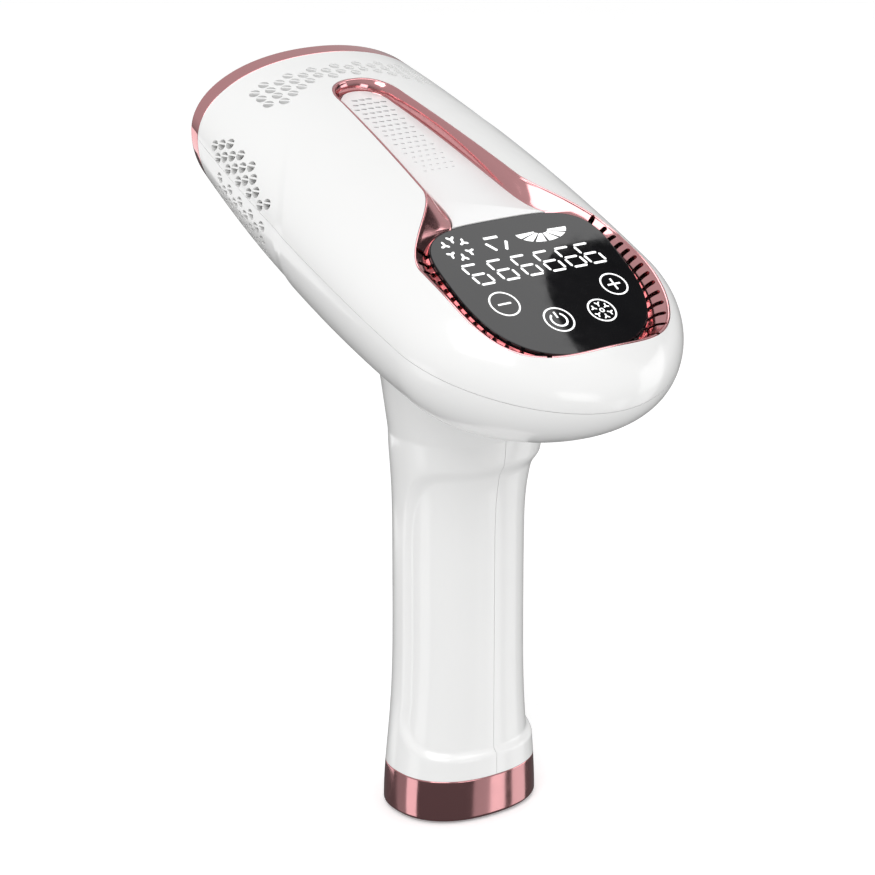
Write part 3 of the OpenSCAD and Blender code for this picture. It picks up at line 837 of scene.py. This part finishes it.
# ---------------------------------------------------------------- spine and display
def spine_outline(grow):
    """The panel from above, in its own plane; its rear end follows the glass's front edge."""
    t = SPINE_TIP + (SPINE_END - SPINE_TIP) * (1 - np.cos(np.linspace(0, math.pi / 2, 120)))
    side = np.column_stack([spine_w(t) + grow, SPINE_T - t - np.where(t < SPINE_T, grow, 0)])
    side[0, 0] = 0
    x = np.linspace(1, -1, 61)[1:-1] * side[-1, 0]
    end = np.column_stack([x, SPINE_T + 0.06 - glass_front(x) - grow])
    left = side[:0:-1] * np.array([-1, 1])
    return np.vstack([side, end, left])


def tick(x, y, length, width):
    """A short slanted slot, wider at one end."""
    arc = np.linspace(-math.pi / 2, math.pi / 2, 7)
    pts = [(length / 2 + width * 0.5 * math.cos(a), width * 0.5 * math.sin(a)) for a in arc]
    pts += [(-length / 2 - width * 0.3 * math.cos(a), -width * 0.3 * math.sin(a)) for a in arc]
    lean = math.radians(-12)
    c, s = math.cos(lean), math.sin(lean)
    return np.array(pts) @ np.array([[c, s], [-s, c]]) + np.array([x, y])


def spine_ticks():
    """(x, y, size) of the ticks: rows that shrink towards the display."""
    out = []
    for k in range(17):
        for j in range(-2, 3):
            if k == 0 and abs(j) == 2:
                continue
            size = 1 - 0.035 * k
            out.append((j * 2.35 + (0 if k % 2 == 0 else 1.1) - 0.5, -3.0 - 2.45 * k, size))
    return out


def build_spine():
    """The white panel along the recess, with a soft edge and rows of small ticks sunk into it, each holding
    painted shade: a dark grey fill.
    """
    rows = []
    for shrink, z in ((0.45, -1.6), (0.3, -1.2), (0, -0.3), (0.02, -0.14), (0.07, -0.05), (0.17, 0.0)):
        rows.append(at_z(spine_outline(-0.08 - shrink), z))
    holes = [prism(tick(x, y, 1.3 * k, 0.85 * k), -0.5, 1) for x, y, k in spine_ticks()]
    mesh = cut(make_mesh("spine", *loft(rows)), *holes)
    finish_piece("spine_panel_skin", mesh, SATIN, "handset", ("spine_panel",), 40, None,
                 SPINE)
    # Painted shade: a dark grey fill low in each tick hole stands in for the shade inside it.
    shade_fills = [prism(tick(x, y, 1.25 * k, 0.79 * k), -0.49, -0.25) for x, y, k in spine_ticks()]
    mesh = make_mesh("ticks", *merged(shade_fills))
    finish_piece("spine_tick_shade_fill", mesh, TICK_SHADE, "handset", (), 40, None, SPINE)


def glass_outline(grow):
    """The glass from above, in its own plane: two half superellipses, the front one shorter and squarer."""
    a = full_turn(240)
    front = np.sin(a) >= 0
    p = np.where(front, 3.6, 2.6)
    reach = np.where(front, 18.95, 31.7) + grow
    return np.column_stack([(28.3 + grow) * spow(np.cos(a), p), -0.3 + reach * spow(np.sin(a), p)])


def build_glass():
    """The display's glass, with a rounded edge."""
    rows = []
    for inset, z in ((0, -1.4), (0, -0.32), (0.03, -0.2), (0.1, -0.09), (0.2, -0.025), (0.32, 0), (0.4, 0)):
        rows.append(at_z(glass_outline(-0.08 - inset), z))
    mesh = make_mesh("glass", *loft(rows))
    finish_piece("display_glass_cover", mesh, BLACK_GLASS, "handset", ("display_glass",), 50,
                 None, GLASS)


# The display's signs, laid just above its glass: flat closed outlines in the glass's own plane.
def bar(p, q, width, taper=0.5):
    """A stroke with pointed ends, like a display's segment."""
    p, q = np.array(p, float), np.array(q, float)
    d = (q - p) / np.linalg.norm(q - p)
    n = np.array([-d[1], d[0]]) * width / 2
    cut = d * width * taper
    return np.array([p, p + cut - n, q - cut - n, q, q - cut + n, p + cut + n])


def arc_band(centre, radius, width, start=0.0, end=360.0, steps=48):
    a = np.radians(np.linspace(start, end, steps + 1))
    ring = np.column_stack([np.cos(a), np.sin(a)])
    return np.vstack([centre + ring * (radius + width / 2), (centre + ring * (radius - width / 2))[::-1]])


def digit_six(x0):
    """Seven segments less the upper right one, leaning as a skewed cell."""
    def cell(u, v):
        return np.array([x0 + 4.9 * u + 2.0 * (1 - v), -2.85 + 7.4 * v])

    ends = [((0.04, 1), (0.96, 1)), ((0, 0.95), (0, 0.55)), ((0.06, 0.5), (0.94, 0.5)),
            ((0, 0.45), (0, 0.05)), ((0.04, 0), (0.96, 0)), ((1, 0.45), (1, 0.05))]
    return [bar(cell(*a), cell(*b), 0.78) for a, b in ends]


def flake(centre, reach, width):
    out = []
    for k in range(6):
        a = math.radians(60 * k + 30)
        d = np.array([math.cos(a), math.sin(a)])
        out.append(bar(centre + d * reach * 0.42, centre + d * reach * 0.78, width))
        for turn in (-48, 48):
            b = a + math.radians(turn)
            e = np.array([math.cos(b), math.sin(b)])
            root = centre + d * reach * 0.72
            out.append(bar(root, root + e * reach * 0.36, width))
    return out


def petals(centre, wide, tall, count):
    """Wedges spread like a half-open fan."""
    out = []
    for k in range(count):
        a0 = math.pi + math.pi * (k + 0.10) / count
        a1 = math.pi + math.pi * (k + 0.90) / count
        arc = np.linspace(a0, a1, 7)
        far = np.column_stack([wide * np.cos(arc), tall * np.sin(arc)])
        near = 0.28 * far[[-1, 0]]
        out.append(centre + np.vstack([far, near]))
    return out


def display_signs():
    out = []
    for x0 in (-21.1, -13.0, -5.2, 2.3, 9.5, 16.0):
        out += digit_six(x0)
    out += flake(np.array([-18.1, 10.9]), 4.6, 0.75)
    out += [bar((-8.7, 12.5), (-4.0, 12.5), 0.9, 0.2), bar((-9.1, 10.8), (-7.0, 7.7), 0.9, 0.2),
            bar((-2.4, 10.6), (-4.1, 7.4), 0.9, 0.2)]
    out += petals(np.array([9.9, 12.0]), 8.4, 4.2, 6)
    keys = {"minus": (-16.5, -10.6, 4.4), "power": (-4.4, -19.3, 4.4), "cool": (10.0, -19.1, 4.15),
            "plus": (19.4, -11.2, 4.05)}
    for name, (x, y, r) in keys.items():
        c = np.array([x, y])
        out.append(arc_band(c, r - 0.2, 0.5))
        if name in ("minus", "plus"):
            out.append(bar(c + (-2.1, 0), c + (2.1, 0), 0.6, 0.1))
        if name == "plus":
            out.append(bar(c + (0, 0.3), c + (0, 2.1), 0.6, 0.1))
            out.append(bar(c + (0, -0.3), c + (0, -2.1), 0.6, 0.1))
        if name == "power":
            out.append(arc_band(c, 2.3, 0.6, 125, 415))
            out.append(bar(c + (0, 0.6), c + (0, 2.9), 0.6, 0.1))
        if name == "cool":
            out += flake(c, 3.1, 0.45)
            out.append(arc_band(c, 0.6, 0.4, steps=18))
    return out


def build_signs():
    mesh = make_mesh("signs", *merged([prism(outline, 0.004, 0.02) for outline in display_signs()]))
    finish_piece("display_signs", mesh, PRINT, "handset", (), 60, None, GLASS)


# ---------------------------------------------------------------- handle and base
def handle_rows(off, z0, z1, n, cols):
    """Rings up the handle, off mm inside it. Those on its surface have the grip recess."""
    z = np.linspace(z0, z1, n)
    th = full_turn(cols)
    return grip_pt(z[:, None], th[None, :], off, recess=off == 0)


def build_handle():
    """Two halves, hollow, cut to the underside of the head, whose walls lap inside a fine joint line."""
    outer = handle_rows(0, CAP_H + 0.06, 136, 200, 220)
    body = cut(make_mesh("grip", *loft(outer)), loft(handle_rows(2.3, CAP_H - 2, 137, 40, 80)))
    gap, cols = 0.05, 220
    verts, faces = closed_rear(head_rows(-gap, cols, 90, 40, -2), -gap)
    faces.append(list(range(cols)))
    body = cut(body, moved((verts, faces), HEAD))
    trigger_hole = prism(trigger_outline(4.0), 0, 20)
    body = cut(body, moved(trigger_hole, Matrix.Translation((0, 10, TRIGGER_Z)) @ UPRIGHT))
    half_gap = 0.07
    core = make_mesh("core", *loft(handle_rows(1.9, CAP_H - 2, 137, 40, 80)))
    left_cut = boolean(make_mesh("cut", *box((-half_gap, -60, 0), (60, 60, 160))), core.copy())
    left = boolean(body.copy(), left_cut)
    left = cut(left, box((LAP - half_gap, -60, 0), (60, 60, 160)))
    right_cut = boolean(core, make_mesh("cut", *box((LAP + half_gap, -60, 0), (60, 60, 160))))
    right = cut(body, box((-60, -60, 0), (half_gap, 60, 160)))
    right = boolean(right, right_cut)
    for node, half in (("handle_left", left), ("handle_right", right)):
        known = follow_surface(half, outer)
        finish_piece(node + "_skin", half, WHITE, "handset", (node,), 32, known)


def rounded_rect(width, height, radius, steps=10):
    out = []
    for k, (sx, sy) in enumerate(((1, 1), (-1, 1), (-1, -1), (1, -1))):
        a = np.linspace(k * math.pi / 2, (k + 1) * math.pi / 2, steps)
        cx, cy = sx * (width / 2 - radius), sy * (height / 2 - radius)
        out.append(np.column_stack([cx + radius * np.cos(a), cy + radius * np.sin(a)]))
    return np.vstack(out)


def trigger_outline(grow):
    """The trigger's outline, whose corner radius is grow."""
    return rounded_rect(6.5 + 2 * grow, 15 + 2 * grow, grow)


def build_trigger():
    """The trigger's cap: a domed pad with a soft rim, dished a little across the middle."""
    rows = []
    ring = trigger_outline(3.85)
    rim_y = 18.3
    for scale, y in ((1, 12.0), (1, 17.3), (0.99, 17.75), (0.965, 18.1), (0.93, rim_y)):
        rows.append(at_z(ring * scale, y))
    for scale in (0.9, 0.8, 0.65, 0.5, 0.35, 0.2, 0.05):
        pts = ring * scale
        dome = 1.7 * (1 - (pts[:, 1] / 11.35) ** 2) * (1 - scale**6)
        dish = 0.35 * (np.exp(-((3.2 / 3) ** 2)) - np.exp(-((pts[:, 0] / 3) ** 2)))
        rows.append(np.column_stack([pts, rim_y + dome + dish]))
    rows = np.array(rows)[:, :, [0, 2, 1]]
    mesh = make_mesh("trigger", *loft(rows))
    back = make_mesh("flange", *box((-8.1, 11, -12), (8.1, 12.4, 12)))
    mesh = boolean(mesh, back, "UNION")
    mesh = cut(mesh, moved(prism(oval(3, 3, 48), 10.5, 15), UPRIGHT))
    place = Matrix.Translation((0, 0, TRIGGER_Z))
    finish_piece("trigger_cap", mesh, WHITE, "trigger", ("trigger_button",), 40, None, place)


def build_cap():
    """The plated cap: rounded foot edge, faint flare, small chamfer at the joint."""
    th = full_turn(240)
    foot_r = 1.1
    arc = np.linspace(0, math.pi / 2, 8)
    profile = [(0.0, 3.0)] + [(foot_r * (1 - math.cos(a)), foot_r * (1 - math.sin(a))) for a in arc]
    profile += [(z, 0.0) for z in np.arange(2.5, 12, 2)]
    profile += [(CAP_H - 0.4, 0.0), (CAP_H - 0.15, 0.04), (CAP_H - 0.02, 0.2), (CAP_H, 0.4)]
    rows = []
    for z, inset in profile:
        outline = grip_pt(z, th, recess=False)[:, :2]
        rows.append(at_z(outline * (1 - inset / 20), z))
    mesh = cut(make_mesh("cap", *loft(rows)), loft(handle_rows(2.3, 2, 20, 8, 120)))
    circle = oval(1, 1, 64)
    mesh = cut(mesh, prism(circle * PLUG_R, -1, 4))
    mesh = cut(mesh, prism(circle * (PLUG_R + 0.3), -1, 0.3))
    for s in (-1, 1):
        at = np.array([s * BASE_SCREW_X, 0])
        mesh = cut(mesh, prism(circle * 2.2 + at, -1, 1.4))
        mesh = cut(mesh, prism(circle * 1.1 + at, -1, 4))
    known = follow_surface(mesh, np.array(rows))
    finish_piece("base_cap_plate", mesh, ROSE_SOFT, "handset", ("base_cap",), 35, known)


# ---------------------------------------------------------------- treatment head
WINDOW = Matrix.Translation((0, 0, WINDOW_Z)) @ UPRIGHT


def mouth_ring(y, off):
    """The mouth's oval at y, off mm inside it."""
    a = full_turn(240)
    upper = np.sin(a) > 0
    p = np.where(upper, CROWN, 2)
    high = np.where(upper, top_h(0), bot_h(0)) / math.cos(math.radians(TILT)) - off
    x = (HEAD_HALF_W - off) * spow(np.cos(a), p)
    return np.column_stack([x, np.full(len(a), y), MOUTH[2] + high * spow(np.sin(a), p)])


def build_housing():
    """The treatment head's body: a rounded front with the window and the lamp's box behind it."""
    steps = [(67, 6.5), (73.6, 6.5), (73.9, 5.9), (74.2, 5.45), (74.6, 5.4), (74.95, 5.5), (75.3, 5.85)]
    steps += [(75.6, 6.3), (75.85, 6.9), (76.02, 7.7), (76.12, 8.8), (76.18, 10.5), (76.2, 12.5)]
    rows = [mouth_ring(y, off) for y, off in steps]
    mesh = make_mesh("housing", *loft(rows))
    back = make_mesh("box", *box((-25, 47.5, WINDOW_Z - 9.5), (25, 68, WINDOW_Z + 8.5)))
    mesh = boolean(mesh, back, "UNION")
    mesh = cut(mesh, moved(prism(rounded_rect(38.4, 14.4, 0.8), 60, 80), WINDOW))
    mesh = cut(mesh, box((-23.2, 49.2, WINDOW_Z - 7.7), (23.2, 63.2, WINDOW_Z + 6.7)))
    known = follow_surface(mesh, np.array(rows))
    finish_piece("treatment_housing_skin", mesh, WHITE, "treatment_head",
                 ("head_housing",), 32, known)


def build_window_frame():
    """The plated frame round the lamp window, with rounded edges."""
    profile = [(0, 76.27), (0, 76.75), (-0.1, 76.92), (-0.28, 77.0)]
    profile += [(-3.2, 77.0), (-3.42, 76.9), (-3.5, 76.7), (-3.5, 76.27)]
    rows = []
    for grow, y in profile:
        ring = rounded_rect(44 + 2 * grow, 20 + 2 * grow * 0.98, max(0.6, 2 + grow * 0.3), 12)
        rows.append(at_z(ring, y))
    mesh = make_mesh("frame", *hoop(rows))
    finish_piece("window_frame_plate", mesh, ROSE, "treatment_head", ("window_frame",), 35,
                 None, WINDOW)


def build_pads():
    """The domed pads beside the window."""
    profile = [(1, 76.25), (1, 76.45), (0.95, 76.62), (0.8, 76.71), (0.5, 76.745), (0.1, 76.75)]
    parts = []
    for s in (-1, 1):
        parts.append(loft([at_z(oval(2.2 * k, 5.28 * k, 72) + (s * 27, 0), y) for k, y in profile]))
    mesh = make_mesh("pads", *merged(parts))
    finish_piece("contact_pad_caps", mesh, STEEL, "treatment_head", ("contact_pads",), 50,
                 None, WINDOW)


# ---------------------------------------------------------------- studio
def stage_mesh(name, verts, faces, material):
    mesh = bpy.data.meshes.new(name)
    mesh.from_pydata([tuple(v) for v in verts], [], faces)
    mesh.materials.append(material)
    obj = new_object(name, mesh)
    return obj


def glow(name, strength):
    """A material that only gives light."""
    m = bpy.data.materials.new(name)
    m.use_nodes = True
    nodes = m.node_tree.nodes
    nodes.clear()
    light = nodes.new("ShaderNodeEmission")
    light.inputs["Strength"].default_value = strength
    out = nodes.new("ShaderNodeOutputMaterial")
    m.node_tree.links.new(light.outputs[0], out.inputs["Surface"])
    return m


def reflected_only(obj):
    """Studio cards show in the shiny surfaces and nowhere else."""
    obj.visible_camera = False
    obj.visible_diffuse = False
    obj.visible_shadow = False
    obj.visible_transmission = False


def card(name, azimuth, elevation, strength, radius=2.0):
    """A curved card round the object. Azimuth, from +Y towards +X, and elevation are (low, high) degrees."""
    cols, rows = 13, 7
    verts = []
    for e in np.radians(np.linspace(*elevation, rows)):
        for a in np.radians(np.linspace(*azimuth, cols)):
            away = Vector((math.sin(a) * math.cos(e), math.cos(a) * math.cos(e), math.sin(e)))
            verts.append(Vector((0, 0, 0.1)) + radius * away)
    faces = [[i * cols + j, i * cols + j + 1, (i + 1) * cols + j + 1, (i + 1) * cols + j]
             for i in range(rows - 1) for j in range(cols - 1)]
    reflected_only(stage_mesh(name, verts, faces, glow(name, strength)))


def glass_flag():
    """The dark card that blacks out the right-hand rear of the display, set where the glass mirrors it."""
    normal = (GLASS.to_3x3() @ Vector((0, 0, 1))).normalized()
    turn, power = np.linspace(math.pi / 2, 0, 24), 2.27
    corner = np.column_stack([16.7 - 22.7 * spow(np.cos(turn), power), 43.3 * spow(np.sin(turn), power) - 38])
    edge = [(40, 5.0), *corner.tolist(), (-8, -45)]
    far = 900
    eye = EYE * 1000
    centre = GLASS @ Vector((0, 0, 0))
    look = (centre - eye).normalized()
    out = look - 2 * look.dot(normal) * normal
    side = out.cross(Vector((0, 0, 1))).normalized()
    up = side.cross(out)
    base = centre + out * far
    flat = []
    for x, v in edge:
        at = GLASS @ Vector((x, v, 0))
        ray = (at - eye).normalized()
        ray = ray - 2 * ray.dot(normal) * normal
        hit = at + ray * ((base - at).dot(out) / ray.dot(out))
        flat.append(((hit - base).dot(side), (hit - base).dot(up)))
    flat += [(flat[-1][0] + far, flat[-1][1]), (flat[-1][0] + far, -far), (flat[0][0], -far)]
    verts = [(base + side * a + up * b) / 1000 for a, b in flat]
    reflected_only(stage_mesh("card_flag", verts, [list(range(len(verts)))], glow("card_flag", 0.04)))


def looking(place, aim):
    """Stands at place and looks at aim."""
    turn = (Vector(aim) - Vector(place)).to_track_quat("-Z", "Y")
    return Matrix.Translation(place) @ turn.to_matrix().to_4x4()


def area_light(name, place, aim, size, power):
    data = bpy.data.lights.new(name, "AREA")
    data.shape = "RECTANGLE"
    data.size, data.size_y = size
    data.energy = power
    new_object(name, data).matrix_world = looking(place, aim)


def sky_band(tree, stops):
    """Brightness of the surroundings by height, from straight down (0) to straight up (1)."""
    new, link = tree.nodes.new, tree.links.new
    coords = new("ShaderNodeTexCoord")
    split = new("ShaderNodeSeparateXYZ")
    span = new("ShaderNodeMapRange")
    ramp = new("ShaderNodeValToRGB")
    back = new("ShaderNodeBackground")
    while len(ramp.color_ramp.elements) < len(stops):
        ramp.color_ramp.elements.new(0.5)
    for element, (place, level) in zip(ramp.color_ramp.elements, stops):
        element.position = place
        element.color = (level, level, level, 1)
    span.inputs["From Min"].default_value = -1
    link(coords.outputs["Generated"], split.inputs[0])
    link(split.outputs["Z"], span.inputs["Value"])
    link(span.outputs["Result"], ramp.inputs["Fac"])
    link(ramp.outputs["Color"], back.inputs["Color"])
    return back.outputs[0]


def build_world():
    """White behind the object, soft even light on it, and a darker room in its reflections."""
    world = bpy.data.worlds.new("studio")
    bpy.context.scene.world = world
    world.use_nodes = True
    tree = world.node_tree
    tree.nodes.clear()
    new, link = tree.nodes.new, tree.links.new
    out = new("ShaderNodeOutputWorld")
    path = new("ShaderNodeLightPath")
    seen = new("ShaderNodeBackground")
    seen.inputs["Color"].default_value = (1, 1, 1, 1)
    soft = sky_band(tree, [(0.56, 0.84), (1.0, 0.74)])
    room = sky_band(tree, [(0.0, 0.1), (0.40, 0.12), (0.5, 0.4), (0.62, 0.55), (1.0, 0.6)])
    glossy = new("ShaderNodeMixShader")
    camera = new("ShaderNodeMixShader")
    link(path.outputs["Is Glossy Ray"], glossy.inputs["Fac"])
    link(soft, glossy.inputs[1])
    link(room, glossy.inputs[2])
    link(path.outputs["Is Camera Ray"], camera.inputs["Fac"])
    link(glossy.outputs[0], camera.inputs[1])
    link(seen.outputs[0], camera.inputs[2])
    link(camera.outputs[0], out.inputs["Surface"])


def build_studio():
    s = Shader("studio_floor", Roughness=0.6)
    pale = s.ramp(s.noise(3.0, 2.0), [(0.3, (0.93, 0.93, 0.93)), (0.7, (0.95, 0.95, 0.95))])
    s.colour(pale)
    s.link(pale, s.bsdf.inputs["Emission Color"])
    s.bsdf.inputs["Emission Strength"].default_value = 0.27
    reach, drop = 6, 0.0006
    corners = [(-reach, -reach, -drop), (reach, -reach, -drop), (reach, reach, -drop), (-reach, reach, -drop)]
    floor = stage_mesh("floor", corners, [[0, 1, 2, 3]], s.material)
    floor.visible_glossy = False
    floor.visible_diffuse = False
    build_world()
    area_light("key", (-0.75, -0.65, 1.15), (0, 0, 0.15), (0.8, 0.8), 6.8)
    area_light("fill", (0.9, -0.45, 0.12), (0, 0, 0.08), (0.5, 0.5), 1.3)
    card("card_overhead", (64, 190), (47, 89), 2.8)
    card("card_stripe", (-122, -113), (32, 50), 3.0, 1.9)
    card("card_ring", (-32, 0), (-21, -3), 1.25)
    card("card_tip", (165, 193), (-14, 2), 2.5)
    card("card_cap_side", (-60, -38), (-34, -12), 0.35)
    card("card_cap_left", (-86, -60), (-34, -12), 1.25)
    card("card_cap_soft", (148, 168), (-34, -14), 0.5)
    card("card_cap_front", (136, 148), (-34, -14), 1.3)
    card("card_cap_right", (100, 127), (-34, -14), 1.0)
    glass_flag()
    bpy.context.scene.view_settings.view_transform = "Standard"


# ---------------------------------------------------------------- camera
def build_camera():
    """The photograph's viewing angle: a long lens, above and behind the device on the user's left."""
    data = bpy.data.cameras.new("camera")
    data.sensor_width = 36.0
    data.lens = 123.4
    data.clip_start = 0.01
    obj = new_object("camera", data)
    obj.matrix_world = looking(EYE, TARGET)
    bpy.context.scene.camera = obj


# ---------------------------------------------------------------- build
dress_cad_nodes()
build_shells()
build_ring()
build_trim()
build_spine()
build_glass()
build_signs()
build_handle()
build_trigger()
build_cap()
build_housing()
build_window_frame()
build_pads()
build_studio()
build_camera()
